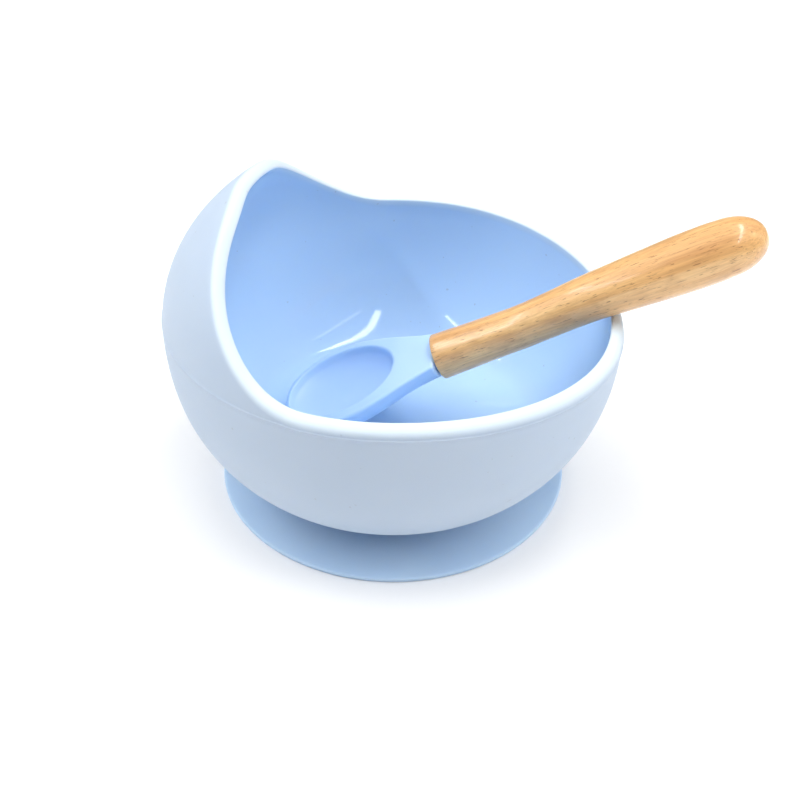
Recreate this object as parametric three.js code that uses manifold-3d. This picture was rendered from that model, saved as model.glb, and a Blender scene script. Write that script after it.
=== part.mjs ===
// Baby's suction bowl with its spoon. Millimetres, +Z up, origin on the table at the centre of the foot.
// The splash guard rises towards -X. The spoon leans across the bowl, its handle on the rim at +X.
import * as THREE from "three";
import { mergeVertices } from "three/addons/utils/BufferGeometryUtils.js";
import { ParametricGeometry } from "three/addons/geometries/ParametricGeometry.js";
import Module from "manifold-3d";

const wasm = await Module();
wasm.setup();

// Driving dimensions of the bowl
const BELLY_RADIUS = 61.5; // the widest circle of the outer wall
const BELLY_HEIGHT = 52; // height of that circle
const LOWER_DEPTH = 54.8; // how far the lower curve would reach below the belly
const LOWER_EXPONENT = 2.25; // a little squarer than an ellipse
const UPPER_RISE = 46.5; // vertical half-axis of the ellipse above the belly
const UNDERSIDE = 8.5; // height of the flat underside
const FLOOR_HEIGHT = 14; // the bottom of the food space
const UNDERSIDE_BLEND = 1.0; // softness of the turn from underside to wall
const FLOOR_BLEND = 1.5; // softness of the turn from floor to wall
const WALL = 3.5;

// Driving dimensions of the rim, in degrees round from the middle of the guard
const GUARD_AZIMUTH = 171.5;
const SHOULDER_HEIGHT = 56.5; // where the lip's outer shoulder starts, beside the guard
const FRONT_DROP = 4.3; // how much lower the rim is opposite the guard
const FRONT_DROP_START = 96;
const GUARD_RISE = 30.2;
const GUARD_HALF_ANGLE = 79.6;
const GUARD_SHARPNESS = 1.76;
const GUARD_FULLNESS = 1.23;
const LIP_RISE = 2.4; // from the shoulder's start to the crest
const LIP_ROUND = 3.0; // width of the rounded outer shoulder

// Driving dimensions of the suction cup
const CUP_RADIUS = 50.8;
const CUP_EDGE = 1.3; // thickness of the thin outer edge
const SEAL_INNER_RADIUS = 46.5; // inner edge of the flat band that seals on the table
const HUB_RADIUS = 24;
const HUB_GAP = 0.3;
const DOME_HEIGHT = 4.8;
const SKIRT_CURVE = 1.7;

// Driving dimensions of the spoon, along its own X axis with the handle's end face at 0
const FERRULE = new THREE.Vector3(12.55, -1.6, 38.3);
const SPOON_SLOPE = 26.5;
const SPOON_HEADING = -4.1;
const SPOON_ROLL = 9;
const HANDLE_LENGTH = 90.8;
const HANDLE_CAP_START = 80;
const HANDLE_CAP_RADIUS = 7.5;
const HANDLE_BOW = 1.4; // sideways lift of the handle's outer half
const BORE_RADIUS = 3.5;
const BORE_DEPTH = 22;
const SPOON_GAP = 0.3;
const HEAD_LENGTH = 49;
const HEAD_HALF_WIDTH = 15.4;
const HEAD_WIDEST = 29;
const HEAD_SPREAD_START = -6;
const HEAD_OFFSET = 1.0;
const HEAD_EDGE = 0.8;
const HEAD_LOWER_EXPONENT = 2.4;
const STEM_HALF_WIDTH = 6.2;
const STEM_TOP = 3.3;
const HEAD_TOP = 2.9;
const STEM_BOTTOM = -4.2;
const HEAD_BOTTOM = -6.6;
const TIP_LEVEL = 0.6;
const RECESS_CENTRE = 30.0;
const RECESS_OFFSET = 1.8;
const RECESS_HALF_LENGTH = 17.2;
const RECESS_HALF_WIDTH = 12.5;
const RECESS_DEPTH = 6.4;

// Fineness of the faceted surfaces
const BOWL_SECTORS = 64;
const CUP_SECTORS = 48;
const HEAD_EDGE_STEPS = 3;
const HEAD_LOWER_STEPS = 17;
const HEAD_STATIONS = 20;
const HANDLE_SIDES = 24;

const radians = THREE.MathUtils.degToRad;
const lerp = THREE.MathUtils.lerp;
const smoothstep = THREE.MathUtils.smoothstep;

// Joins the seam and the poles of a surface, and drops the triangles that close up to a line there.
function weld(geometry) {
  geometry.deleteAttribute("normal");
  geometry.deleteAttribute("uv");
  const merged = mergeVertices(geometry, 1e-3);
  const corners = merged.getIndex().array;
  const kept = [];
  for (let i = 0; i < corners.length; i += 3) {
    const [a, b, c] = corners.slice(i, i + 3);
    if (a !== b && b !== c && c !== a) {
      kept.push(a, b, c);
    }
  }
  merged.setIndex(kept);
  return merged;
}

function toSolid(geometry) {
  const welded = weld(geometry.clone());
  return new wasm.Manifold(new wasm.Mesh({
    numProp: 3,
    vertProperties: new Float32Array(welded.getAttribute("position").array),
    triVerts: new Uint32Array(welded.getIndex().array),
  }));
}

function fromSolid(solid) {
  const mesh = solid.getMesh();
  const geometry = new THREE.BufferGeometry();
  geometry.setAttribute("position", new THREE.BufferAttribute(mesh.vertProperties, 3));
  geometry.setIndex(new THREE.BufferAttribute(mesh.triVerts, 1));
  return geometry;
}

function part(name, geometry, color, roughness) {
  geometry.computeVertexNormals();
  const material = new THREE.MeshStandardMaterial({ color, roughness, metalness: 0 });
  const mesh = new THREE.Mesh(geometry, material);
  mesh.name = name;
  return mesh;
}

// The higher of two heights, with the corner between them rounded by blend.
function softMax(a, b, blend) {
  return (a + b + Math.hypot(a - b, 2 * blend)) / 2;
}

// ---- Bowl -------------------------------------------------------------------------------------

// Radius of the outer wall at a height.
function outerRadius(z) {
  if (z < BELLY_HEIGHT) {
    const depth = Math.min((BELLY_HEIGHT - z) / LOWER_DEPTH, 1);
    return BELLY_RADIUS * (1 - depth ** LOWER_EXPONENT) ** (1 / LOWER_EXPONENT);
  }
  const rise = Math.min((z - BELLY_HEIGHT) / UPPER_RISE, 1);
  return BELLY_RADIUS * Math.sqrt(1 - rise ** 2);
}

// Unit direction up along the outer wall, as [outwards, up].
function wallDirection(z) {
  const step = 0.01;
  const slope = (outerRadius(z + step) - outerRadius(z - step)) / (2 * step);
  const length = Math.hypot(slope, 1);
  return [slope / length, 1 / length];
}

// A point beside the outer wall, moved along it and then into the wall, as [radius, height].
function besideWall(z, along, inwards) {
  const [outwards, up] = wallDirection(z);
  return [
    outerRadius(z) + outwards * along - up * inwards,
    z + up * along + outwards * inwards,
  ];
}

// Height at which the lip's outer shoulder starts, at an angle round the bowl.
function shoulderHeight(azimuth) {
  const turn = THREE.MathUtils.euclideanModulo(azimuth - GUARD_AZIMUTH + 180, 360) - 180;
  const angle = Math.abs(turn);
  const drop = FRONT_DROP * smoothstep(angle, FRONT_DROP_START, 180);
  const fade = smoothstep((angle / GUARD_HALF_ANGLE) ** GUARD_SHARPNESS, 0, 1);
  return SHOULDER_HEIGHT - drop + GUARD_RISE * (1 - fade) ** GUARD_FULLNESS;
}

const LOWER_ROWS = 10;
const UPPER_ROWS = 8;
const LIP_ROWS = 4;
const UPPER_START = 46;

// Height on the lower curve for a fraction of the way from the axis to the start of the upper wall.
function lowerHeight(fraction) {
  const lowest = BELLY_HEIGHT - LOWER_DEPTH;
  return lerp(lowest, UPPER_START, 1 - Math.cos(fraction * Math.PI / 2));
}

// One meridian of the bowl: underside, outer wall, lip, inner wall and floor.
function bowlMeridian(azimuth) {
  const shoulder = shoulderHeight(azimuth);
  const points = [[0, UNDERSIDE]];
  for (let i = 1; i < LOWER_ROWS; i++) {
    const z = lowerHeight(i / LOWER_ROWS);
    points.push([outerRadius(z), softMax(UNDERSIDE, z, UNDERSIDE_BLEND)]);
  }
  for (let i = 0; i <= UPPER_ROWS; i++) {
    const z = lerp(UPPER_START, shoulder, i / UPPER_ROWS);
    points.push([outerRadius(z), softMax(UNDERSIDE, z, UNDERSIDE_BLEND)]);
  }
  for (let i = 1; i <= LIP_ROWS; i++) {
    const turn = i / LIP_ROWS * Math.PI / 2;
    points.push(besideWall(shoulder, LIP_RISE * Math.sin(turn), LIP_ROUND * (1 - Math.cos(turn))));
  }
  points.push(besideWall(shoulder, LIP_RISE, WALL));
  for (let i = UPPER_ROWS; i >= 0; i--) {
    const [r, z] = besideWall(lerp(UPPER_START, shoulder, i / UPPER_ROWS), 0, WALL);
    points.push([r, softMax(FLOOR_HEIGHT, z, FLOOR_BLEND)]);
  }
  for (let i = LOWER_ROWS - 1; i > 2; i--) {
    const [r, z] = besideWall(lowerHeight(i / LOWER_ROWS), 0, WALL);
    points.push([r, softMax(FLOOR_HEIGHT, z, FLOOR_BLEND)]);
  }
  points.push([HUB_RADIUS / 2, FLOOR_HEIGHT], [0, FLOOR_HEIGHT]);
  return points;
}

function bowlShell() {
  const rows = bowlMeridian(0).length - 1;
  const meridians = [];
  for (let i = 0; i < BOWL_SECTORS; i++) {
    meridians.push(bowlMeridian(i * 360 / BOWL_SECTORS));
  }
  const surface = (u, v, target) => {
    const sector = Math.round(u * BOWL_SECTORS) % BOWL_SECTORS;
    const [r, z] = meridians[sector][Math.round(v * rows)];
    const angle = sector * 2 * Math.PI / BOWL_SECTORS;
    target.set(r * Math.cos(angle), r * Math.sin(angle), z);
  };
  return weld(new ParametricGeometry(surface, BOWL_SECTORS, rows));
}

// ---- Suction cup ------------------------------------------------------------------------------

// A hub under the bowl that flares to a thin skirt, hollow underneath, with a flat sealing band.
function suctionCup() {
  const hubTop = UNDERSIDE - HUB_GAP;
  const skirtEnd = CUP_RADIUS - CUP_EDGE;
  const profile = [new THREE.Vector2(0, DOME_HEIGHT)];
  const steps = 9;
  for (let i = 1; i <= steps; i++) {
    const r = SEAL_INNER_RADIUS * i / steps;
    profile.push(new THREE.Vector2(r, DOME_HEIGHT * (1 - (r / SEAL_INNER_RADIUS) ** 2)));
  }
  profile.push(new THREE.Vector2(CUP_RADIUS - CUP_EDGE / 4, 0));
  profile.push(new THREE.Vector2(CUP_RADIUS, CUP_EDGE / 3));
  profile.push(new THREE.Vector2(CUP_RADIUS - CUP_EDGE / 4, CUP_EDGE));
  for (let i = 0; i <= steps; i++) {
    const r = lerp(skirtEnd, HUB_RADIUS, i / steps);
    const climb = (i / steps) ** SKIRT_CURVE;
    profile.push(new THREE.Vector2(r, lerp(CUP_EDGE + 0.1, hubTop, climb)));
  }
  profile.push(new THREE.Vector2(0, hubTop));
  const geometry = new THREE.LatheGeometry(profile, CUP_SECTORS);
  geometry.rotateX(Math.PI / 2);
  return weld(geometry);
}

// ---- Spoon ------------------------------------------------------------------------------------

function headHalfWidth(d) {
  if (d < HEAD_WIDEST) {
    return lerp(STEM_HALF_WIDTH, HEAD_HALF_WIDTH, smoothstep(d, HEAD_SPREAD_START, HEAD_WIDEST));
  }
  const t = (d - HEAD_WIDEST) / (HEAD_LENGTH - HEAD_WIDEST);
  return HEAD_HALF_WIDTH * Math.sqrt(Math.max(1 - t * t, 0));
}

// Fraction that shrinks to nothing at the tip, so that top and bottom meet there in a round nose.
function noseFraction(d, start) {
  const t = Math.max((d - start) / (HEAD_LENGTH - start), 0);
  return Math.sqrt(Math.max(1 - t * t, 0));
}

function headTop(d) {
  const full = lerp(STEM_TOP, HEAD_TOP, smoothstep(d, 0, 10));
  return lerp(TIP_LEVEL, full, noseFraction(d, HEAD_LENGTH - 3));
}

function headBottom(d) {
  const full = lerp(STEM_BOTTOM, HEAD_BOTTOM, smoothstep(d, 2, HEAD_WIDEST));
  return lerp(TIP_LEVEL, full, noseFraction(d, HEAD_WIDEST));
}

// The head's cross-section d behind the handle, as [sideways, up]: a flat top, two rounded top
// edges, and a lower side that bulges down. It starts at the far edge's side and goes over the top.
function headSection(d) {
  const half = headHalfWidth(d);
  const edge = Math.min(HEAD_EDGE, half / 3, (headTop(d) - headBottom(d)) / 3);
  const level = headTop(d) - edge;
  const power = (x) => Math.sign(x) * Math.abs(x) ** (2 / HEAD_LOWER_EXPONENT);
  const points = [];
  for (const side of [1, -1]) {
    for (let i = 0; i <= HEAD_EDGE_STEPS; i++) {
      const climb = side > 0 ? i / HEAD_EDGE_STEPS : 1 - i / HEAD_EDGE_STEPS;
      const turn = climb * Math.PI / 2;
      points.push([side * (half - edge + edge * Math.cos(turn)), level + edge * Math.sin(turn)]);
    }
  }
  for (let i = 1; i < HEAD_LOWER_STEPS; i++) {
    const turn = i / HEAD_LOWER_STEPS * Math.PI;
    points.push([-half * power(Math.cos(turn)), level - (level - headBottom(d)) * power(Math.sin(turn))]);
  }
  return points;
}

// The head's outer skin, from the stem's end face to the tip.
function headSkin() {
  const sides = 2 * (HEAD_EDGE_STEPS + 1) + HEAD_LOWER_STEPS - 1;
  const surface = (u, v, target) => {
    const row = Math.round(v * (HEAD_STATIONS + 2));
    const last = HEAD_STATIONS + 1;
    const station = Math.min(Math.max(row - 1, 0), HEAD_STATIONS) / HEAD_STATIONS;
    const reach = Math.sin(station * Math.PI / 2);
    const d = row > last ? HEAD_LENGTH : lerp(SPOON_GAP, HEAD_LENGTH, reach);
    const place = (sides - Math.round(u * sides)) % sides;
    const middle = (headTop(d) + headBottom(d)) / 2;
    const sideways = HEAD_OFFSET * smoothstep(d, 0, 12);
    if (row === 0 || row >= last) {
      target.set(-d, sideways, middle);
    } else {
      const [y, z] = headSection(d)[place];
      target.set(-d, sideways + y, z);
    }
  };
  return new ParametricGeometry(surface, sides, HEAD_STATIONS + 2);
}

function spoonHead() {
  const tenonRadius = BORE_RADIUS - SPOON_GAP;
  const tenonStart = -2;
  const tenonEnd = BORE_DEPTH - SPOON_GAP;
  const tenon = new THREE.CylinderGeometry(tenonRadius, tenonRadius, tenonEnd - tenonStart, 20);
  tenon.rotateZ(Math.PI / 2);
  tenon.translate((tenonStart + tenonEnd) / 2, 0, 0);
  const recess = new THREE.SphereGeometry(1, 28, 18);
  recess.scale(RECESS_HALF_LENGTH, RECESS_HALF_WIDTH, RECESS_DEPTH);
  recess.translate(-RECESS_CENTRE, RECESS_OFFSET, HEAD_TOP);
  return fromSolid(toSolid(headSkin()).add(toSolid(tenon)).subtract(toSolid(recess)));
}

// Turned handle with a blind bore for the head's tenon, slightly bowed outside the bore.
function spoonHandle() {
  const side = new THREE.SplineCurve([
    new THREE.Vector2(6.5, 0.4),
    new THREE.Vector2(6.1, 14),
    new THREE.Vector2(5.95, 28),
    new THREE.Vector2(6.35, 44),
    new THREE.Vector2(7.2, 60),
    new THREE.Vector2(7.65, 71),
    new THREE.Vector2(HANDLE_CAP_RADIUS, HANDLE_CAP_START),
  ]);
  const profile = [new THREE.Vector2(0, BORE_DEPTH)];
  profile.push(new THREE.Vector2(BORE_RADIUS, BORE_DEPTH));
  profile.push(new THREE.Vector2(BORE_RADIUS, 0));
  profile.push(new THREE.Vector2(6.1, 0));
  profile.push(...side.getPoints(12));
  const capSteps = 6;
  for (let i = 1; i <= capSteps; i++) {
    const turn = i / capSteps * Math.PI / 2;
    const reach = (HANDLE_LENGTH - HANDLE_CAP_START) * Math.sin(turn);
    profile.push(new THREE.Vector2(HANDLE_CAP_RADIUS * Math.cos(turn) ** 0.9, HANDLE_CAP_START + reach));
  }
  const geometry = new THREE.LatheGeometry(profile, HANDLE_SIDES);
  geometry.rotateZ(-Math.PI / 2);
  const position = geometry.getAttribute("position");
  for (let i = 0; i < position.count; i++) {
    const lift = HANDLE_BOW * smoothstep(position.getX(i), BORE_DEPTH, BORE_DEPTH + 26);
    position.setZ(i, position.getZ(i) + lift);
  }
  return weld(geometry);
}

// ---- Assembly ---------------------------------------------------------------------------------

const SILICONE_BLUE = "#b9cfe6";
const CUP_BLUE = "#a9c4e2";
const HEAD_BLUE = "#b3d3f2";
const BEECH = "#d9a066";

const spoon = new THREE.Group();
spoon.position.copy(FERRULE);
spoon.rotation.set(radians(SPOON_ROLL), radians(-SPOON_SLOPE), radians(SPOON_HEADING), "ZYX");
spoon.add(part("spoon_head", spoonHead(), HEAD_BLUE, 0.45));
spoon.add(part("spoon_handle", spoonHandle(), BEECH, 0.4));

const assembly = new THREE.Group();
assembly.add(part("bowl_shell", bowlShell(), SILICONE_BLUE, 0.5));
assembly.add(part("suction_cup", suctionCup(), CUP_BLUE, 0.45));
assembly.add(spoon);

export default assembly;
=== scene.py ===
# %% [markdown]
# # A baby's suction bowl and its spoon
#
# This lesson dresses a finished set of working parts: a silicone bowl with a tall splash guard,
# the suction cup it stands on, and a spoon with a silicone head and a beech handle. Here each
# one gets a fine skin and a finish, and the skins of the bowl and the spoon are tied to their
# moving bodies, so that they follow when a joint moves.

# %% The frame
import math

import bmesh
import bpy
from mathutils import Euler, Matrix, Vector


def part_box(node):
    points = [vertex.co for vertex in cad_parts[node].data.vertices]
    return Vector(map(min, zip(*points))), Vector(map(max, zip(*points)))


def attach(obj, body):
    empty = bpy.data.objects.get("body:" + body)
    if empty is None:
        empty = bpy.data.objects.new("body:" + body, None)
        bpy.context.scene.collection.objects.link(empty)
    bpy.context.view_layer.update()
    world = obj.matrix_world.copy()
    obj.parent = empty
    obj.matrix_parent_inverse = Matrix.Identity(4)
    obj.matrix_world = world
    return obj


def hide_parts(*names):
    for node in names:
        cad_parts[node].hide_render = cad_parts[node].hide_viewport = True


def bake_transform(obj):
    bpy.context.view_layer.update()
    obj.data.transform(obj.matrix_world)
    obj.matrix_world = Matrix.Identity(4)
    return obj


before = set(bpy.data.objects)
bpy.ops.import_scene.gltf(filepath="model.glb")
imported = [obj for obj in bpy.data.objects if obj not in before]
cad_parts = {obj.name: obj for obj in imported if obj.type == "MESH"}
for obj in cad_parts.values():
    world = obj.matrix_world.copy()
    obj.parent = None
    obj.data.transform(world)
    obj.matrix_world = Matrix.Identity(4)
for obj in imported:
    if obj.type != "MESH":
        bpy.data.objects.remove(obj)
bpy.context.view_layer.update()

# %% [markdown]
# ## Sizes
#
# The outline of the bowl is a formula: a slightly squared ellipse below its widest circle and a
# plain ellipse above it. Everything is written in millimetres and scaled to metres at the last
# step, because silicone walls and seams are easier to think about in millimetres.

# %% Sizes in millimetres
MM = 0.001


def node_box(name):
    low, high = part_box(name)
    return Vector(low) / MM, Vector(high) / MM


bowl_low, bowl_high = node_box("bowl_shell")
cup_high = node_box("suction_cup")[1]

BELLY_RADIUS = (bowl_high.y - bowl_low.y) / 2
BELLY_HEIGHT = 52.0
LOWER_DEPTH = 54.8
LOWER_EXPONENT = 2.25
UPPER_RISE = 46.5
UNDERSIDE = bowl_low.z
FLOOR_HEIGHT = 14.0
WALL = 3.5

GUARD_AZIMUTH = 171.5
SHOULDER_HEIGHT = 56.5
FRONT_DROP = 4.3
FRONT_DROP_START = 96.0
GUARD_RISE = 30.2
GUARD_HALF_ANGLE = 79.6
GUARD_SHARPNESS = 1.76
GUARD_FULLNESS = 1.23
LIP_RISE = 2.4
LIP_ROUND = 3.0
print("belly radius", round(BELLY_RADIUS, 2), "underside", round(UNDERSIDE, 2))

# %% [markdown]
# ## Easing from one size to another
#
# A moulded shape has few hard corners: one size runs into the next. Three small functions do
# that easing. `smoothstep` turns a stretch of numbers into a soft 0 to 1, `lerp` goes straight
# from one number to another, and `soft_max` rounds the corner where a wall meets a floor. The last
# function clears the selection before each new object, so that nothing older is changed with it.

# %% Small helpers for shapes
def smoothstep(x, start, end):
    t = min(max((x - start) / (end - start), 0.0), 1.0)
    return t * t * (3 - 2 * t)


def lerp(a, b, t):
    return a + (b - a) * t


def soft_max(a, b, blend):
    """The higher of two heights, with the corner between them rounded by blend."""
    return (a + b + math.hypot(a - b, 2 * blend)) / 2


def deselect_all():
    """Leaves edit mode and deselects, since an operator acts on all that is selected."""
    if bpy.context.object and bpy.context.object.mode != "OBJECT":
        bpy.ops.object.mode_set(mode="OBJECT")
    bpy.ops.object.select_all(action="DESELECT")


# %% [markdown]
# ## Growing a skin ring by ring
#
# All four pieces are round things that change as they go: the bowl's rim climbs into a guard, the
# spoon's head widens and dishes. By hand one would add a circle, extrude it, and nudge the new ring
# into place, over and over. `grow` does exactly that. Each vertex remembers its place round the
# ring in a layer of whole numbers, which an extrusion copies along, and the number of its ring in
# a second one, so that a finish can later start at an exact ring.

# %% A skin grown from a circle
def grow(name, rings):
    """Extrudes a circle through rings of points (millimetres) and closes both ends at a pole."""
    sectors = len(rings[0])
    deselect_all()
    bpy.ops.mesh.primitive_circle_add(vertices=sectors, radius=1, fill_type="NOTHING")
    piece = bpy.context.object
    piece.name = name
    piece.data.name = name
    bpy.ops.object.mode_set(mode="EDIT")
    bpy.ops.mesh.select_mode(type="VERT")
    mesh = bmesh.from_edit_mesh(piece.data)
    mesh.verts.layers.int.new("ring")
    sector_layer = mesh.verts.layers.int.new("sector")
    for place, vert in enumerate(mesh.verts):
        vert[sector_layer] = place
        vert.co = Vector(rings[0][place]) * MM
    bmesh.update_edit_mesh(piece.data)
    bpy.ops.mesh.select_all(action="SELECT")
    for number, ring in enumerate(rings[1:], 1):
        bpy.ops.mesh.extrude_region_move()
        mesh = bmesh.from_edit_mesh(piece.data)
        sector_layer = mesh.verts.layers.int["sector"]
        ring_layer = mesh.verts.layers.int["ring"]
        for vert in mesh.verts:
            if vert.select:
                vert.co = Vector(ring[vert[sector_layer]]) * MM
                vert[ring_layer] = number
        bmesh.update_edit_mesh(piece.data)
    bpy.ops.mesh.merge(type="CENTER")
    close_first_ring(piece)
    bpy.ops.mesh.select_all(action="SELECT")
    bpy.ops.mesh.normals_make_consistent(inside=False)
    bpy.ops.object.mode_set(mode="OBJECT")
    bpy.ops.object.shade_smooth()
    print(name, "faces", len(piece.data.polygons))
    return piece


def close_first_ring(piece):
    """Selects the ring that is still open, by its boundary edges, and merges it to its centre."""
    bpy.ops.mesh.select_all(action="DESELECT")
    mesh = bmesh.from_edit_mesh(piece.data)
    for vert in mesh.verts:
        vert.select = any(edge.is_boundary for edge in vert.link_edges)
    mesh.select_flush_mode()
    bmesh.update_edit_mesh(piece.data)
    bpy.ops.mesh.merge(type="CENTER")


# %% [markdown]
# ## The camera
#
# The set is looked at from the front and from above the rim, high enough to see the spoon's dish.
# A fairly short distance with a normal lens gives the bowl some perspective, as in a close look.

# %% Camera
VIEW_ELEVATION = math.radians(36.44)
VIEW_DISTANCE = 280.0
VIEW_TARGET = Vector((1.3, 0.0, 22.05))
VIEW_ROLL = math.radians(0.39)
LENS = 43.36
FRAME_SHIFT = 0.0025


def add_camera():
    deselect_all()
    bpy.ops.object.camera_add()
    camera = bpy.context.object
    camera.name = "camera"
    camera.data.lens = LENS
    camera.data.sensor_width = 36
    camera.data.clip_start = 0.01
    camera.data.shift_x = FRAME_SHIFT
    direction = Vector((0, math.cos(VIEW_ELEVATION), -math.sin(VIEW_ELEVATION)))
    place = (VIEW_TARGET - direction * VIEW_DISTANCE) * MM
    turn = direction.to_track_quat("-Z", "Y").to_matrix().to_4x4()
    camera.matrix_world = Matrix.Translation(place) @ turn @ Matrix.Rotation(VIEW_ROLL, 4, "Z")
    bpy.context.scene.camera = camera
    print("camera at", [round(value, 3) for value in place])


add_camera()

# %% [markdown]
# ## The floor and the backdrop
#
# The set stands on a plain pale floor, much wider than the view. In a low view the floor would
# end in a grey horizon, so a white dome stands round everything. Only the camera sees the dome,
# so it adds no light and no reflection of its own.

# %% Floor and backdrop
FLOOR_SIZE = 8.0
FLOOR_SHADE = 0.93
BACKDROP_RADIUS = 0.8
BACKDROP_SHADE = 0.9


def stage_material(name, shade):
    """A plain material of one grey shade, with its shader."""
    material = bpy.data.materials.new(name)
    material.use_nodes = True
    shader = material.node_tree.nodes["Principled BSDF"]
    shader.inputs["Base Color"].default_value = (shade, shade, shade, 1)
    return material, shader


def add_floor():
    deselect_all()
    bpy.ops.mesh.primitive_plane_add(size=FLOOR_SIZE, location=(0, 0, 0))
    floor = bpy.context.object
    floor.name = "floor"
    material, shader = stage_material("floor_white", FLOOR_SHADE)
    shader.inputs["Roughness"].default_value = 0.7
    floor.data.materials.append(material)


def add_backdrop():
    deselect_all()
    bpy.ops.mesh.primitive_uv_sphere_add(segments=64, ring_count=32, radius=BACKDROP_RADIUS)
    dome = bpy.context.object
    dome.name = "backdrop"
    material, shader = stage_material("backdrop_white", BACKDROP_SHADE)
    shader.inputs["Emission Color"].default_value = (1, 1, 1, 1)
    shader.inputs["Emission Strength"].default_value = 1.0
    dome.data.materials.append(material)
    dome.visible_diffuse = False
    dome.visible_glossy = False
    dome.visible_transmission = False
    dome.visible_shadow = False


add_floor()
add_backdrop()
print("floor", FLOOR_SIZE, "m wide, backdrop", BACKDROP_RADIUS, "m away")

# %% [markdown]
# ## The soft light
#
# The light is a bright workroom: a faint even world, and broad lights overhead and on both sides.
# Broad lights wrap round the matte silicone and leave no hard shadow. They would show in the
# polished inside as pale squares, so they are kept out of reflections.

# %% Soft lights
WORLD_STRENGTH = 0.14
AIM_HEIGHT = 30.0
SOFT_LIGHTS = [
    # name, azimuth and elevation in degrees, distance, size, power
    ("overhead_softbox", 90, 85, 1.2, (1.2, 1.2), 7.6),
    ("left_softbox", 180, 45, 1.2, (0.9, 0.9), 6.5),
    ("right_softbox", 0, 45, 1.2, (0.9, 0.9), 4.9),
    ("right_low_panel", 0, 18, 1.3, (0.9, 0.4), 3.6),
    ("back_left_softbox", 135, 50, 1.2, (0.9, 0.9), 2.6),
]


def add_area_light(name, place, size, power):
    """A rectangular light that the camera doesn't see, facing straight down."""
    deselect_all()
    bpy.ops.object.light_add(type="AREA", location=place)
    light = bpy.context.object
    light.name = name
    light.data.shape = "RECTANGLE"
    light.data.size, light.data.size_y = size
    light.data.energy = power
    light.visible_camera = False
    return light


def towards(azimuth, elevation):
    a, e = math.radians(azimuth), math.radians(elevation)
    return Vector((math.cos(e) * math.cos(a), math.cos(e) * math.sin(a), math.sin(e)))


world = bpy.data.worlds.new("studio_tent")
bpy.context.scene.world = world
world.use_nodes = True
background = world.node_tree.nodes["Background"]
background.inputs["Color"].default_value = (1, 1, 1, 1)
background.inputs["Strength"].default_value = WORLD_STRENGTH
for name, azimuth, elevation, distance, size, power in SOFT_LIGHTS:
    direction = towards(azimuth, elevation)
    aim = Vector((0, 0, AIM_HEIGHT)) * MM
    light = add_area_light(name, aim + direction * distance, size, power)
    light.rotation_euler = direction.to_track_quat("Z", "Y").to_euler()
    light.visible_glossy = False
bpy.context.scene.view_settings.view_transform = "Standard"
print("soft lights", len(SOFT_LIGHTS))

# %% [markdown]
# ## The ceiling tubes
#
# Gloss shows only if there is something to mirror. Slim tubes on the ceiling are mirrored by the
# polished inside of the bowl as bright curved streaks. The curve comes from the bowl, so the
# tubes themselves are straight.

# %% Ceiling tubes
CEILING_HEIGHT = 1.0
CEILING_TUBES = [
    # name, first end, last end, width, power
    ("middle_tube", (0.23, -1.1), (0.23, 0.4), 0.085, 4.9),
    ("left_tube", (-0.76, -0.94), (-0.76, 0.3), 0.055, 3.2),
    ("right_tube_dim", (0.5, -1.08), (0.79, -0.2), 0.06, 0.5),
]
for name, start, end, width, power in CEILING_TUBES:
    first, last = Vector((*start, CEILING_HEIGHT)), Vector((*end, CEILING_HEIGHT))
    along = (last - first).normalized()
    tube = add_area_light(name, (first + last) / 2, (width, (last - first).length), power)
    tube.rotation_euler = (0, 0, math.atan2(along.y, along.x) - math.pi / 2)
print("ceiling tubes", len(CEILING_TUBES))

# %% [markdown]
# ## The bowl
#
# The bowl is one silicone moulding. Its outline is the same all round up to the belly, so the rim
# alone carries the character: it runs level at the front, drops a little where the spoon rests,
# and sweeps up into the guard. The wall leans outwards up to the belly and inwards above it, so
# one function gives its radius at any height, and another gives the height of the rim's shoulder
# at any angle. Formulas are used here because both curves must stay smooth all the way round.

# %% The bowl's outline
def outer_radius(z):
    if z < BELLY_HEIGHT:
        depth = min((BELLY_HEIGHT - z) / LOWER_DEPTH, 1)
        return BELLY_RADIUS * (1 - depth ** LOWER_EXPONENT) ** (1 / LOWER_EXPONENT)
    rise = min((z - BELLY_HEIGHT) / UPPER_RISE, 1)
    return BELLY_RADIUS * math.sqrt(1 - rise * rise)


def beside_wall(z, along, inwards):
    """A point moved along the outer wall and then into it, as (radius, height)."""
    step = 0.01
    slope = (outer_radius(z + step) - outer_radius(z - step)) / (2 * step)
    length = math.hypot(slope, 1)
    outwards, up = slope / length, 1 / length
    return (
        outer_radius(z) + outwards * along - up * inwards,
        z + up * along + outwards * inwards,
    )


def guard_angle(azimuth):
    return abs((azimuth - GUARD_AZIMUTH + 180) % 360 - 180)


def shoulder_height(azimuth):
    """Height at which the lip's rounded outer shoulder starts."""
    angle = guard_angle(azimuth)
    drop = FRONT_DROP * smoothstep(angle, FRONT_DROP_START, 180)
    fade = smoothstep((angle / GUARD_HALF_ANGLE) ** GUARD_SHARPNESS, 0, 1)
    return SHOULDER_HEIGHT - drop + GUARD_RISE * (1 - fade) ** GUARD_FULLNESS


print("rim shoulder heights", [round(shoulder_height(a), 1) for a in (GUARD_AZIMUTH, 90, 0)])

# %% [markdown]
# ### One meridian
#
# A meridian is the cut line seen if the bowl is sawn through its axis: from the middle of the
# underside, up the outer wall, over the lip and down to the middle of the floor. It is written in
# the three stretches that the real moulding has. Rows are close together where the wall turns
# fast. The mould's parting line runs just under the lip as a hair-thin ridge, made in the outline
# itself and not by a bump, so that it shows from every side.

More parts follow.
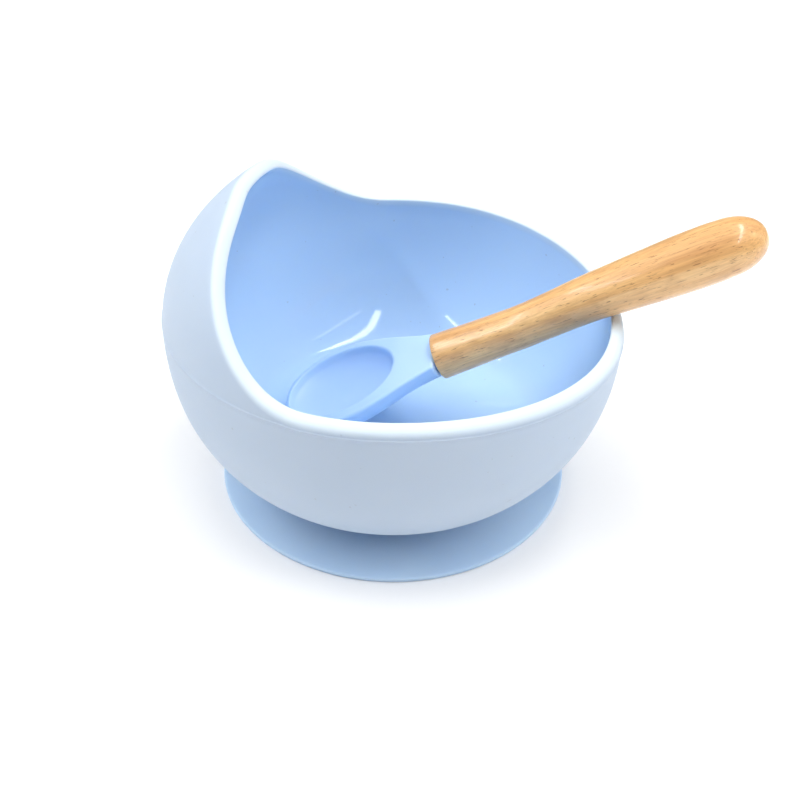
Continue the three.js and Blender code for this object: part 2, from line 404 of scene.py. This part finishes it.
# %% One meridian of the bowl
LOWER_ROWS = 34
WALL_ROWS = 7
SHOULDER_ROWS = 15
LIP_ROWS = 9
EDGE_ROWS = 4
INNER_ROWS = 22
UPPER_START = 46.0
SEAM_HEIGHT = 56.3
SEAM_HALF_WIDTH = 0.24
SEAM_RIDGE = 0.2
INNER_EDGE_RADIUS = 0.6
SEAM_BELOW_SHOULDER = 0.6
UNDERSIDE_BLEND = 1.0
FLOOR_BLEND = 1.5
FLOOR_CROWN = 0.1
FLOOR_RINGS = (0.75, 0.5, 0.25)


def lower_height(fraction):
    return lerp(BELLY_HEIGHT - LOWER_DEPTH, UPPER_START, 1 - math.cos(fraction * math.pi / 2))


def outer_wall(azimuth):
    shoulder = shoulder_height(azimuth)
    seam = min(SEAM_HEIGHT, shoulder - SEAM_BELOW_SHOULDER)
    points = []
    for i in range(1, LOWER_ROWS):
        z = lower_height(i / LOWER_ROWS)
        points.append((outer_radius(z), soft_max(UNDERSIDE, z, UNDERSIDE_BLEND)))
    for i in range(WALL_ROWS):
        z = lerp(UPPER_START, seam - SEAM_HALF_WIDTH, i / WALL_ROWS)
        points.append((outer_radius(z), z))
    for i in range(-2, 3):
        z = seam + SEAM_HALF_WIDTH * i / 2
        points.append((outer_radius(z) + SEAM_RIDGE * (1 - (i / 2) ** 2), z))
    for i in range(1, SHOULDER_ROWS + 1):
        z = lerp(seam + SEAM_HALF_WIDTH, shoulder, i / SHOULDER_ROWS)
        points.append((outer_radius(z), z))
    return points


def lip(azimuth):
    shoulder = shoulder_height(azimuth)
    points = []
    for i in range(1, LIP_ROWS + 1):
        turn = i / LIP_ROWS * math.pi / 2
        along, inwards = LIP_RISE * math.sin(turn), LIP_ROUND * (1 - math.cos(turn))
        points.append(beside_wall(shoulder, along, inwards))
    for i in range(1, EDGE_ROWS + 1):
        turn = i / EDGE_ROWS * math.pi / 2
        along = LIP_RISE - INNER_EDGE_RADIUS * (1 - math.cos(turn))
        inwards = WALL - INNER_EDGE_RADIUS * (1 - math.sin(turn))
        points.append(beside_wall(shoulder, along, inwards))
    return points


def inner_wall(azimuth):
    shoulder = shoulder_height(azimuth)
    points = []
    for i in range(INNER_ROWS):
        r, z = beside_wall(lerp(shoulder, UPPER_START, (i + 0.5) / INNER_ROWS), 0, WALL)
        points.append((r, soft_max(FLOOR_HEIGHT, z, FLOOR_BLEND)))
    for i in range(LOWER_ROWS, 3, -1):
        r, z = beside_wall(lower_height(i / LOWER_ROWS), 0, WALL)
        points.append((r, soft_max(FLOOR_HEIGHT, z, FLOOR_BLEND)))
    innermost = points[-1][0]
    points += [(innermost * share, FLOOR_HEIGHT + FLOOR_CROWN) for share in FLOOR_RINGS]
    return points


print("points in a meridian", len(outer_wall(0)) + len(lip(0)) + len(inner_wall(0)))

# %% [markdown]
# ### The skin
#
# The meridian is worked out at each of many angles, and its points are regrouped into rings. Each
# ring is then one extrusion. Spinning one fixed outline would be shorter, but it can't give a rim
# whose height changes on the way round.

# %% The bowl's skin
BOWL_SECTORS = 216


def rings_about_z(meridian, sectors):
    """Turns a meridian function of the azimuth into rings of points."""
    columns = [meridian(i * 360 / sectors) for i in range(sectors)]
    rings = []
    for row in range(len(columns[0])):
        ring = []
        for i, column in enumerate(columns):
            r, z = column[row]
            angle = i * 2 * math.pi / sectors
            ring.append((r * math.cos(angle), r * math.sin(angle), z))
        rings.append(ring)
    return rings


def bowl_meridian(azimuth):
    return outer_wall(azimuth) + lip(azimuth) + inner_wall(azimuth)


bowl = grow("silicone_bowl", rings_about_z(bowl_meridian, BOWL_SECTORS))

# %% [markdown]
# ### Where the finish changes
#
# The outside of the bowl is left as moulded, matte, while the inside is polished so that food
# wipes off. The two finishes share one material: a `polish` value on each vertex is 0 outside and
# on the lip, changes over the rings of the lip's inner edge, and is 1 from there to the floor.
# The same value also gives the outside a greyer, darker blue than the inside: painted shade and
# painted matte sheen on what is one silicone.
# A second value, `lip`, is 1 on the rounded rim, whose paler blue is painted light: it stands for
# the light that shines through the rim and falls on its top.

# %% Where the bowl is polished
def mark_polish(piece, first_ring, last_ring):
    layer = piece.data.attributes.new("polish", "FLOAT", "POINT")
    rings = piece.data.attributes["ring"].data
    for ring, polish in zip(rings, layer.data):
        polish.value = smoothstep(ring.value, first_ring, last_ring)


# The `lip` value marks the rim, where painted light pales the colour.
def mark_painted_lip_light(piece, first_ring, last_ring):
    layer = piece.data.attributes.new("lip", "FLOAT", "POINT")
    rings = piece.data.attributes["ring"].data
    for ring, pale in zip(rings, layer.data):
        rise = smoothstep(ring.value, first_ring - 2, first_ring + 3)
        pale.value = rise * (1 - smoothstep(ring.value, last_ring - 2, last_ring))


lip_ring = len(outer_wall(0))
rim_ring = lip_ring + len(lip(0))
mark_polish(bowl, rim_ring - EDGE_ROWS, rim_ring + 1)
mark_painted_lip_light(bowl, lip_ring, rim_ring)
print("lip from ring", lip_ring, "polished from ring", rim_ring - EDGE_ROWS)
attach(bowl, "bowl")
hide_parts("bowl_shell")

# %% [markdown]
# ## The suction cup
#
# Under the bowl a short hub flares into a skirt that ends in an edge only a millimetre thick.
# Underneath, a flat band seals on the table round a shallow dome, whose air is pressed out. The
# skirt gives when the bowl is pushed down; here its skin is one fixed shape, tied to no moving
# body.

# %% The suction cup's skin
CUP_RADIUS = cup_high.x
CUP_EDGE = 1.3
SEAL_INNER_RADIUS = 46.5
HUB_RADIUS = 24.0
HUB_TOP = cup_high.z
DOME_HEIGHT = 4.8
SKIRT_CURVE = 1.7
CUP_SECTORS = 160
HUB_RINGS = (0.95, 0.6, 0.25)
DOME_ROWS = 16
SKIRT_ROWS = 26
CUP_EDGE_ROWS = 8


def cup_meridian(azimuth):
    """The cup is the same all round, so the angle isn't used."""
    points = []
    for i in range(1, DOME_ROWS + 1):
        r = SEAL_INNER_RADIUS * i / DOME_ROWS
        points.append((r, DOME_HEIGHT * (1 - (r / SEAL_INNER_RADIUS) ** 2)))
    edge_middle = CUP_RADIUS - CUP_EDGE / 2
    for i in range(CUP_EDGE_ROWS + 1):
        turn = math.radians(lerp(-90, 90, i / CUP_EDGE_ROWS))
        r = edge_middle + CUP_EDGE / 2 * math.cos(turn)
        points.append((r, CUP_EDGE / 2 * (1 + math.sin(turn))))
    for i in range(1, SKIRT_ROWS + 1):
        climb = i / SKIRT_ROWS
        r = lerp(edge_middle, HUB_RADIUS, climb)
        points.append((r, lerp(CUP_EDGE, HUB_TOP, climb ** SKIRT_CURVE)))
    points += [(HUB_RADIUS * share, HUB_TOP) for share in HUB_RINGS]
    return points


cup = grow("silicone_suction_cup", rings_about_z(cup_meridian, CUP_SECTORS))
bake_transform(cup)
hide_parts("suction_cup")

# %% [markdown]
# ## The spoon's own axes
#
# The spoon is easiest to shape lying along its own X axis, with the end of the handle at zero:
# the handle runs towards plus, the head towards minus. One matrix then lays it in the bowl.

# %% The spoon's place
FERRULE = Vector((12.55, -1.6, 38.3))
SPOON_TURN = Euler((math.radians(9), math.radians(-26.5), math.radians(-4.1)), "XYZ")
SPOON_PLACE = Matrix.Translation(FERRULE) @ SPOON_TURN.to_matrix().to_4x4()


def lay_in_bowl(points):
    return [tuple(SPOON_PLACE @ Vector(point)) for point in points]


print("spoon laid at", list(FERRULE))

# %% [markdown]
# ## The spoon's head
#
# The head starts as a flat stem as wide as the handle, spreads to its widest past the middle and
# closes in a round nose. Each section has a flat top with narrow rounded edges, which catch the
# light, and a lower side that bulges down as a super-ellipse. The dish is pressed into the top: a
# point inside its oval sinks onto an ellipsoid, and a narrow margin eases it over the brink. Four
# short functions, of the distance `d` from the handle, hold these widths and heights.

# %% The head's outline
HEAD_LENGTH = 49.0
HEAD_HALF_WIDTH = 15.4
HEAD_WIDEST = 29.0
HEAD_SPREAD_START = -6.0
HEAD_OFFSET = 1.0
HEAD_EDGE = 0.8
HEAD_LOWER_EXPONENT = 2.4
STEM_HALF_WIDTH = 6.2
STEM_TOP = 3.3
HEAD_TOP = 2.9
STEM_BOTTOM = -4.2
HEAD_BOTTOM = -6.6
TIP_LEVEL = 0.6
DISH_CENTRE = 30.0
DISH_OFFSET = 1.8
DISH_HALF_LENGTH = 17.2
DISH_HALF_WIDTH = 12.5
DISH_DEPTH = 6.4
DISH_BRINK = 0.05
HEAD_START = 0.03
HEAD_TOP_SIDES = 76
HEAD_EDGE_SIDES = 6
HEAD_LOWER_SIDES = 56
HEAD_ROWS = 120


def head_half_width(d):
    if d < HEAD_WIDEST:
        return lerp(STEM_HALF_WIDTH, HEAD_HALF_WIDTH, smoothstep(d, HEAD_SPREAD_START, HEAD_WIDEST))
    t = (d - HEAD_WIDEST) / (HEAD_LENGTH - HEAD_WIDEST)
    return HEAD_HALF_WIDTH * math.sqrt(max(1 - t * t, 0))


def nose_fraction(d, start):
    t = max((d - start) / (HEAD_LENGTH - start), 0)
    return math.sqrt(max(1 - t * t, 0))


def head_top(d):
    full = lerp(STEM_TOP, HEAD_TOP, smoothstep(d, 0, 10))
    return lerp(TIP_LEVEL, full, nose_fraction(d, HEAD_LENGTH - 3))


def head_bottom(d):
    full = lerp(STEM_BOTTOM, HEAD_BOTTOM, smoothstep(d, 2, HEAD_WIDEST))
    return lerp(TIP_LEVEL, full, nose_fraction(d, HEAD_WIDEST))


def dish_depth(d, y):
    """Depth of the dish below the flat top, eased to nothing over its brink."""
    lengthwise = (d - DISH_CENTRE) / DISH_HALF_LENGTH
    crosswise = (y - DISH_OFFSET) / DISH_HALF_WIDTH
    spread = lengthwise ** 2 + crosswise ** 2
    hollow = math.sqrt(1 - spread) if spread < 1 else 0.0
    return DISH_DEPTH * hollow * smoothstep(1 - spread, 0, 2 * DISH_BRINK)


dish_bottom = head_top(DISH_CENTRE) - dish_depth(DISH_CENTRE, DISH_OFFSET)
print("silicone under the dish", round(dish_bottom - head_bottom(DISH_CENTRE), 2), "mm")

# %% [markdown]
# ### The head's skin
#
# A section is walked once round: the far edge, the flat top, the near edge and the lower side.
# The top gets most of the points, because the dish has to look smooth. Sections are packed closer
# together towards the nose, where the outline closes fastest, so its round end needs no extra cap.

# %% The head's skin
def rounded(x):
    """Makes a sine or cosine follow the super-ellipse and not a plain one."""
    return math.copysign(abs(x) ** (2 / HEAD_LOWER_EXPONENT), x)


def head_section(d):
    """Points of one section: far edge, flat top with the dish, near edge, lower side."""
    half, top, bottom = head_half_width(d), head_top(d), head_bottom(d)
    edge = min(HEAD_EDGE, half / 3, (top - bottom) / 3)
    level = top - edge
    shift = HEAD_OFFSET * smoothstep(d, 0, 12)
    outline = []
    for i in range(HEAD_EDGE_SIDES):
        turn = i / HEAD_EDGE_SIDES * math.pi / 2
        outline.append((half - edge + edge * math.cos(turn), level + edge * math.sin(turn)))
    for i in range(HEAD_TOP_SIDES + 1):
        y = (half - edge) * math.cos(i / HEAD_TOP_SIDES * math.pi)
        outline.append((y, top - dish_depth(d, y + shift)))
    for i in range(1, HEAD_EDGE_SIDES + 1):
        turn = (1 - i / HEAD_EDGE_SIDES) * math.pi / 2
        outline.append((-(half - edge + edge * math.cos(turn)), level + edge * math.sin(turn)))
    for i in range(1, HEAD_LOWER_SIDES):
        turn = i / HEAD_LOWER_SIDES * math.pi
        across, down = rounded(math.cos(turn)), rounded(math.sin(turn))
        outline.append((-half * across, level - (level - bottom) * down))
    return [(-d, y + shift, z) for y, z in outline]


def head_rings():
    rings = []
    for i in range(HEAD_ROWS + 1):
        turn = i / (HEAD_ROWS + 1) * math.pi / 2
        d = HEAD_START + (HEAD_LENGTH - HEAD_START) * math.sin(turn)
        rings.append(lay_in_bowl(head_section(d)))
    return rings


spoon_head = grow("spoon_head_silicone", head_rings())
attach(spoon_head, "spoon")
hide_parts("spoon_head")

# %% [markdown]
# ## The beech handle
#
# The handle is turned wood: slim near the head, swelling towards a round end, and slightly bowed.
# A turner would mark a few diameters along the blank and fair a curve through them, and that is
# how its radius is made here: a smooth curve through a few turned sizes, then a rounded cap.

# %% The handle's outline
HANDLE_LENGTH = 90.8
CAP_START = 80.0
CAP_RADIUS = 7.5
HANDLE_BOW = 1.4
BORE_DEPTH = 22.0
BORE_RADIUS = 3.5
BOW_LENGTH = 26.0
HANDLE_SIDES = 128
TURNED_SIZES = [
    (0.0, 6.5), (14, 6.1), (28, 5.95), (44, 6.35), (60, 7.2), (71, 7.65), (CAP_START, CAP_RADIUS),
]
PAST_CAP_START = (CAP_START + 9, 5.9)


def turned_radius(x):
    """Catmull-Rom curve through the turned sizes, aimed at one more size past the last."""
    sizes = [TURNED_SIZES[0]] + TURNED_SIZES + [PAST_CAP_START]
    for k in range(1, len(sizes) - 2):
        if x <= sizes[k + 1][0]:
            break
    (x0, r0), (x1, r1), (x2, r2), (x3, r3) = sizes[k - 1:k + 3]
    t = (x - x1) / (x2 - x1)
    slope1 = (r2 - r0) / max(x2 - x0, 1e-6) * (x2 - x1)
    slope2 = (r3 - r1) / (x3 - x1) * (x2 - x1)
    start = 2 * t ** 3 - 3 * t ** 2 + 1
    leaving = t ** 3 - 2 * t ** 2 + t
    end = -2 * t ** 3 + 3 * t ** 2
    arriving = t ** 3 - t ** 2
    return start * r1 + leaving * slope1 + end * r2 + arriving * slope2


def handle_ring(x, radius):
    lift = HANDLE_BOW * smoothstep(x, BORE_DEPTH, BORE_DEPTH + BOW_LENGTH)
    points = []
    for i in range(HANDLE_SIDES):
        angle = i * 2 * math.pi / HANDLE_SIDES
        points.append((x, radius * math.cos(angle), radius * math.sin(angle) + lift))
    return lay_in_bowl(points)


print("radius at the middle", round(turned_radius(HANDLE_LENGTH / 2), 2))

# %% [markdown]
# ### The handle's skin
#
# The end that meets the silicone is cut square, with its edge just broken by sandpaper, so the
# first rings cross the end grain and turn over that narrow edge. The rest follow the turned
# curve. The far end closes a little fuller than a ball would, as a sanded end does.

# %% The handle's skin
END_GRAIN_RADII = (BORE_RADIUS, 5.2, 6.1)
BROKEN_EDGE = ((0.06, 6.3), (0.2, 6.43))
TURNING_START = 0.4
CAP_FULLNESS = 0.9
HANDLE_ROWS = 90
CAP_ROWS = 18


def handle_rings():
    rings = [handle_ring(0, r) for r in END_GRAIN_RADII]
    rings += [handle_ring(x, r) for x, r in BROKEN_EDGE]
    for i in range(HANDLE_ROWS + 1):
        x = TURNING_START + (CAP_START - TURNING_START) * i / HANDLE_ROWS
        rings.append(handle_ring(x, turned_radius(x)))
    for i in range(1, CAP_ROWS):
        turn = i / CAP_ROWS * math.pi / 2
        reach = (HANDLE_LENGTH - CAP_START) * math.sin(turn)
        rings.append(handle_ring(CAP_START + reach, CAP_RADIUS * math.cos(turn) ** CAP_FULLNESS))
    return rings


handle = grow("beech_handle", handle_rings())
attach(handle, "spoon")
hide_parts("spoon_handle")

# %% [markdown]
# ## Finishes
#
# A real surface is never one flat colour, and its gloss is never quite even. All patterns here
# are procedural and read the pieces' own coordinates, so they stay put when the pieces move. The
# helpers below each add one node and hand back its output, so that a material reads as a recipe.

# %% Node helpers
def new_material(name):
    material = bpy.data.materials.new(name)
    material.use_nodes = True
    tree = material.node_tree
    return material, tree, tree.nodes["Principled BSDF"]


def add_node(tree, kind, **settings):
    node = tree.nodes.new(kind)
    for key, value in settings.items():
        setattr(node, key, value)
    return node


def object_coordinates(tree):
    return add_node(tree, "ShaderNodeTexCoord").outputs["Object"]


def noise(tree, vector, scale, detail=3.0, roughness=0.5, distortion=0.0):
    node = add_node(tree, "ShaderNodeTexNoise")
    node.inputs["Scale"].default_value = scale
    node.inputs["Detail"].default_value = detail
    node.inputs["Roughness"].default_value = roughness
    node.inputs["Distortion"].default_value = distortion
    tree.links.new(vector, node.inputs["Vector"])
    return node.outputs["Fac"]


def ramp(tree, value, stops):
    """A colour ramp from (position, colour) stops."""
    node = add_node(tree, "ShaderNodeValToRGB")
    elements = node.color_ramp.elements
    elements[0].position, elements[0].color = stops[0]
    elements[1].position, elements[1].color = stops[-1]
    for position, colour in stops[1:-1]:
        elements.new(position).color = colour
    tree.links.new(value, node.inputs["Fac"])
    return node.outputs["Color"]


def map_range(tree, value, low, high, new_low, new_high):
    node = add_node(tree, "ShaderNodeMapRange")
    tree.links.new(value, node.inputs["Value"])
    settings = {"From Min": low, "From Max": high, "To Min": new_low, "To Max": new_high}
    for key, number in settings.items():
        node.inputs[key].default_value = number
    return node.outputs["Result"]


def mix_colours(tree, factor, first, second, blend_type="MIX"):
    """Mixes two colours; each is a socket or a colour, and factor a socket or a number."""
    node = add_node(tree, "ShaderNodeMix", data_type="RGBA", blend_type=blend_type)
    sockets = (node.inputs[0], node.inputs[6], node.inputs[7])
    for socket, value in zip(sockets, (factor, first, second)):
        if isinstance(value, bpy.types.NodeSocket):
            tree.links.new(value, socket)
        else:
            socket.default_value = value
    return node.outputs[2]


def mix_values(tree, factor, first, second):
    node = add_node(tree, "ShaderNodeMix", data_type="FLOAT")
    sockets = (node.inputs[0], node.inputs[2], node.inputs[3])
    for socket, value in zip(sockets, (factor, first, second)):
        tree.links.new(value, socket)
    return node.outputs[0]


def add_bumps(tree, shader, heights):
    """Stacks bumps of (height socket, strength, distance in metres) and feeds the shader."""
    normal = None
    for height, strength, distance in heights:
        bump = add_node(tree, "ShaderNodeBump")
        bump.inputs["Strength"].default_value = strength
        bump.inputs["Distance"].default_value = distance
        tree.links.new(height, bump.inputs["Height"])
        if normal is not None:
            tree.links.new(normal, bump.inputs["Normal"])
        normal = bump.outputs["Normal"]
    tree.links.new(normal, shader.inputs["Normal"])


# %% [markdown]
# ### Silicone
#
# Silicone lets a little light in and scatters it, so its shader has some subsurface, blue going
# deepest. The bowl is matte outside and polished inside, with faint clouds in its colour and a
# few specks of dust, because silicone draws dust. The cup and the spoon's head are satin, and
# their roughness wanders a little, as on a surface that has been handled and washed.
# Outside, the bowl's blue is painted greyer and darker than inside, as painted shade and sheen.
# The bowl's rim is painted a paler blue, as painted light.

# %% Silicone
SCATTER_RADIUS = (0.6, 0.8, 1.0)
SCATTER_DEPTH = 0.004
# Painted shade and sheen: the outside's blue is the inside's silicone made greyer and darker.
OUTSIDE_PAINTED_SHADE_BLUES = [(0.3, (0.455, 0.55, 0.675, 1)), (0.7, (0.485, 0.575, 0.695, 1))]
INSIDE_BLUES = [(0.3, (0.47, 0.655, 0.885, 1)), (0.7, (0.49, 0.675, 0.90, 1))]
CUP_BLUES = [(0.3, (0.49, 0.67, 0.95, 1)), (0.7, (0.53, 0.71, 0.97, 1))]
HEAD_BLUES = [(0.3, (0.46, 0.64, 0.91, 1)), (0.7, (0.49, 0.67, 0.93, 1))]
# Painted light: the paler blue painted on the lit rim.
LIP_PAINTED_LIGHT_BLUE = (0.64, 0.73, 0.80, 1)
DUST_GREY = (0.30, 0.33, 0.36, 1)


def soften(shader, weight):
    shader.inputs["Subsurface Weight"].default_value = weight
    shader.inputs["Subsurface Radius"].default_value = SCATTER_RADIUS
    shader.inputs["Subsurface Scale"].default_value = SCATTER_DEPTH


def bowl_silicone():
    material, tree, shader = new_material("bowl_silicone_blue")
    where = object_coordinates(tree)
    polish = add_node(tree, "ShaderNodeAttribute", attribute_name="polish").outputs["Fac"]
    cloud = noise(tree, where, 28, 2)
    outside = ramp(tree, cloud, OUTSIDE_PAINTED_SHADE_BLUES)
    inside = ramp(tree, cloud, INSIDE_BLUES)
    # Painted shade and sheen outside, the silicone's own blue inside, chosen by polish.
    colour = mix_colours(tree, polish, outside, inside)
    # Painted light: the rim is mixed towards a pale blue.
    rim = add_node(tree, "ShaderNodeAttribute", attribute_name="lip").outputs["Fac"]
    colour = mix_colours(tree, rim, colour, LIP_PAINTED_LIGHT_BLUE)
    dust = noise(tree, where, 520, 1)
    speck = map_range(tree, dust, 0.77, 0.80, 0.0, 0.35)
    colour = mix_colours(tree, speck, colour, DUST_GREY)
    tree.links.new(colour, shader.inputs["Base Color"])
    scuff = noise(tree, where, 90, 4, 0.6)
    matte = map_range(tree, scuff, 0.3, 0.7, 0.52, 0.62)
    gloss = map_range(tree, scuff, 0.3, 0.7, 0.06, 0.09)
    tree.links.new(mix_values(tree, polish, matte, gloss), shader.inputs["Roughness"])
    soften(shader, 0.25)
    coarse = noise(tree, where, 3200, 2)
    grain = mix_values(tree, polish, coarse, map_range(tree, coarse, 0, 1, 0.45, 0.55))
    wave = noise(tree, where, 60, 1)
    add_bumps(tree, shader, [(grain, 0.12, 0.0001), (wave, 0.10, 0.0006)])
    return material


def cup_silicone():
    material, tree, shader = new_material("cup_silicone_blue")
    where = object_coordinates(tree)
    cloud = noise(tree, where, 40, 2)
    colour = ramp(tree, cloud, CUP_BLUES)
    tree.links.new(colour, shader.inputs["Base Color"])
    scuff = noise(tree, where, 120, 4, 0.6)
    tree.links.new(map_range(tree, scuff, 0.3, 0.7, 0.38, 0.5), shader.inputs["Roughness"])
    soften(shader, 0.3)
    grain = noise(tree, where, 2600, 2)
    add_bumps(tree, shader, [(grain, 0.06, 0.0001)])
    return material


def head_silicone():
    material, tree, shader = new_material("spoon_silicone_blue")
    where = object_coordinates(tree)
    cloud = noise(tree, where, 60, 2)
    colour = ramp(tree, cloud, HEAD_BLUES)
    tree.links.new(colour, shader.inputs["Base Color"])
    scuff = noise(tree, where, 150, 4, 0.6)
    tree.links.new(map_range(tree, scuff, 0.3, 0.7, 0.29, 0.38), shader.inputs["Roughness"])
    soften(shader, 0.3)
    grain = noise(tree, where, 2600, 2)
    add_bumps(tree, shader, [(grain, 0.05, 0.0001)])
    return material


# %% [markdown]
# ### Lacquered beech
#
# Real beech shows three things at once: broad pale and dark bands along the length, fine straight
# grain, and short dark flecks. Each is a noise stretched along the handle by its own amount, and
# the darker ones are laid over the paler. A coat layer stands for the thin lacquer.

# %% Beech
BAND_COLOURS = [
    (0.30, (0.68, 0.35, 0.13, 1)),
    (0.48, (0.84, 0.48, 0.19, 1)),
    (0.70, (0.95, 0.61, 0.27, 1)),
]
GRAIN_BROWN = (0.46, 0.22, 0.085, 1)
FLECK_BROWN = (0.32, 0.13, 0.045, 1)
STAIN_BROWN = (0.50, 0.24, 0.09, 1)


def along_the_handle(tree):
    """Coordinates in millimetres on the spoon's own axes, X along the handle."""
    mapping = add_node(tree, "ShaderNodeMapping", vector_type="TEXTURE")
    mapping.inputs["Location"].default_value = FERRULE * MM
    mapping.inputs["Rotation"].default_value = SPOON_TURN
    mapping.inputs["Scale"].default_value = (MM, MM, MM)
    tree.links.new(object_coordinates(tree), mapping.inputs["Vector"])
    return mapping.outputs["Vector"]


def stretched(tree, vector, scale):
    mapping = add_node(tree, "ShaderNodeMapping")
    mapping.inputs["Scale"].default_value = scale
    tree.links.new(vector, mapping.inputs["Vector"])
    return mapping.outputs["Vector"]


def beech_wood():
    material, tree, shader = new_material("beech_lacquered")
    lengthwise = along_the_handle(tree)
    bands = noise(tree, stretched(tree, lengthwise, (0.012, 0.35, 0.22)), 1.0, 3, 0.55, 0.4)
    colour = ramp(tree, bands, BAND_COLOURS)
    grain = noise(tree, stretched(tree, lengthwise, (0.05, 2.6, 2.6)), 1.0, 4, 0.6)
    grain_mask = map_range(tree, grain, 0.40, 0.72, 0.0, 0.45)
    colour = mix_colours(tree, grain_mask, colour, GRAIN_BROWN)
    flecks = noise(tree, stretched(tree, lengthwise, (0.34, 3.4, 2.6)), 1.0, 2, 0.5)
    fleck_mask = map_range(tree, flecks, 0.62, 0.70, 0.0, 0.75)
    colour = mix_colours(tree, fleck_mask, colour, FLECK_BROWN)
    stain = noise(tree, stretched(tree, lengthwise, (0.07, 0.16, 0.16)), 1.0, 4, 0.65)
    stain_mask = map_range(tree, stain, 0.52, 0.68, 0.0, 0.45)
    colour = mix_colours(tree, stain_mask, colour, STAIN_BROWN)
    tree.links.new(colour, shader.inputs["Base Color"])
    wear = noise(tree, stretched(tree, lengthwise, (0.12, 0.6, 0.6)), 1.0, 5, 0.65)
    tree.links.new(map_range(tree, wear, 0.35, 0.65, 0.29, 0.46), shader.inputs["Roughness"])
    shader.inputs["Coat Weight"].default_value = 0.8
    shader.inputs["Coat Roughness"].default_value = 0.14
    add_bumps(tree, shader, [(grain, 0.3, 0.0001), (flecks, 0.25, 0.0001), (wear, 0.35, 0.0004)])
    return material


# %% [markdown]
# ### Each finish on its piece
#
# Every piece has one finish, so its slots are cleared and the one material is put on all over.
# The bowl's two finishes are one material, as its `polish` value chooses between them.

# %% Finishes on the pieces
FINISHES = [
    (bowl, bowl_silicone),
    (cup, cup_silicone),
    (spoon_head, head_silicone),
    (handle, beech_wood),
]
for piece, finish in FINISHES:
    piece.data.materials.clear()
    piece.data.materials.append(finish())
    print(piece.name, "has", piece.data.materials[0].name)
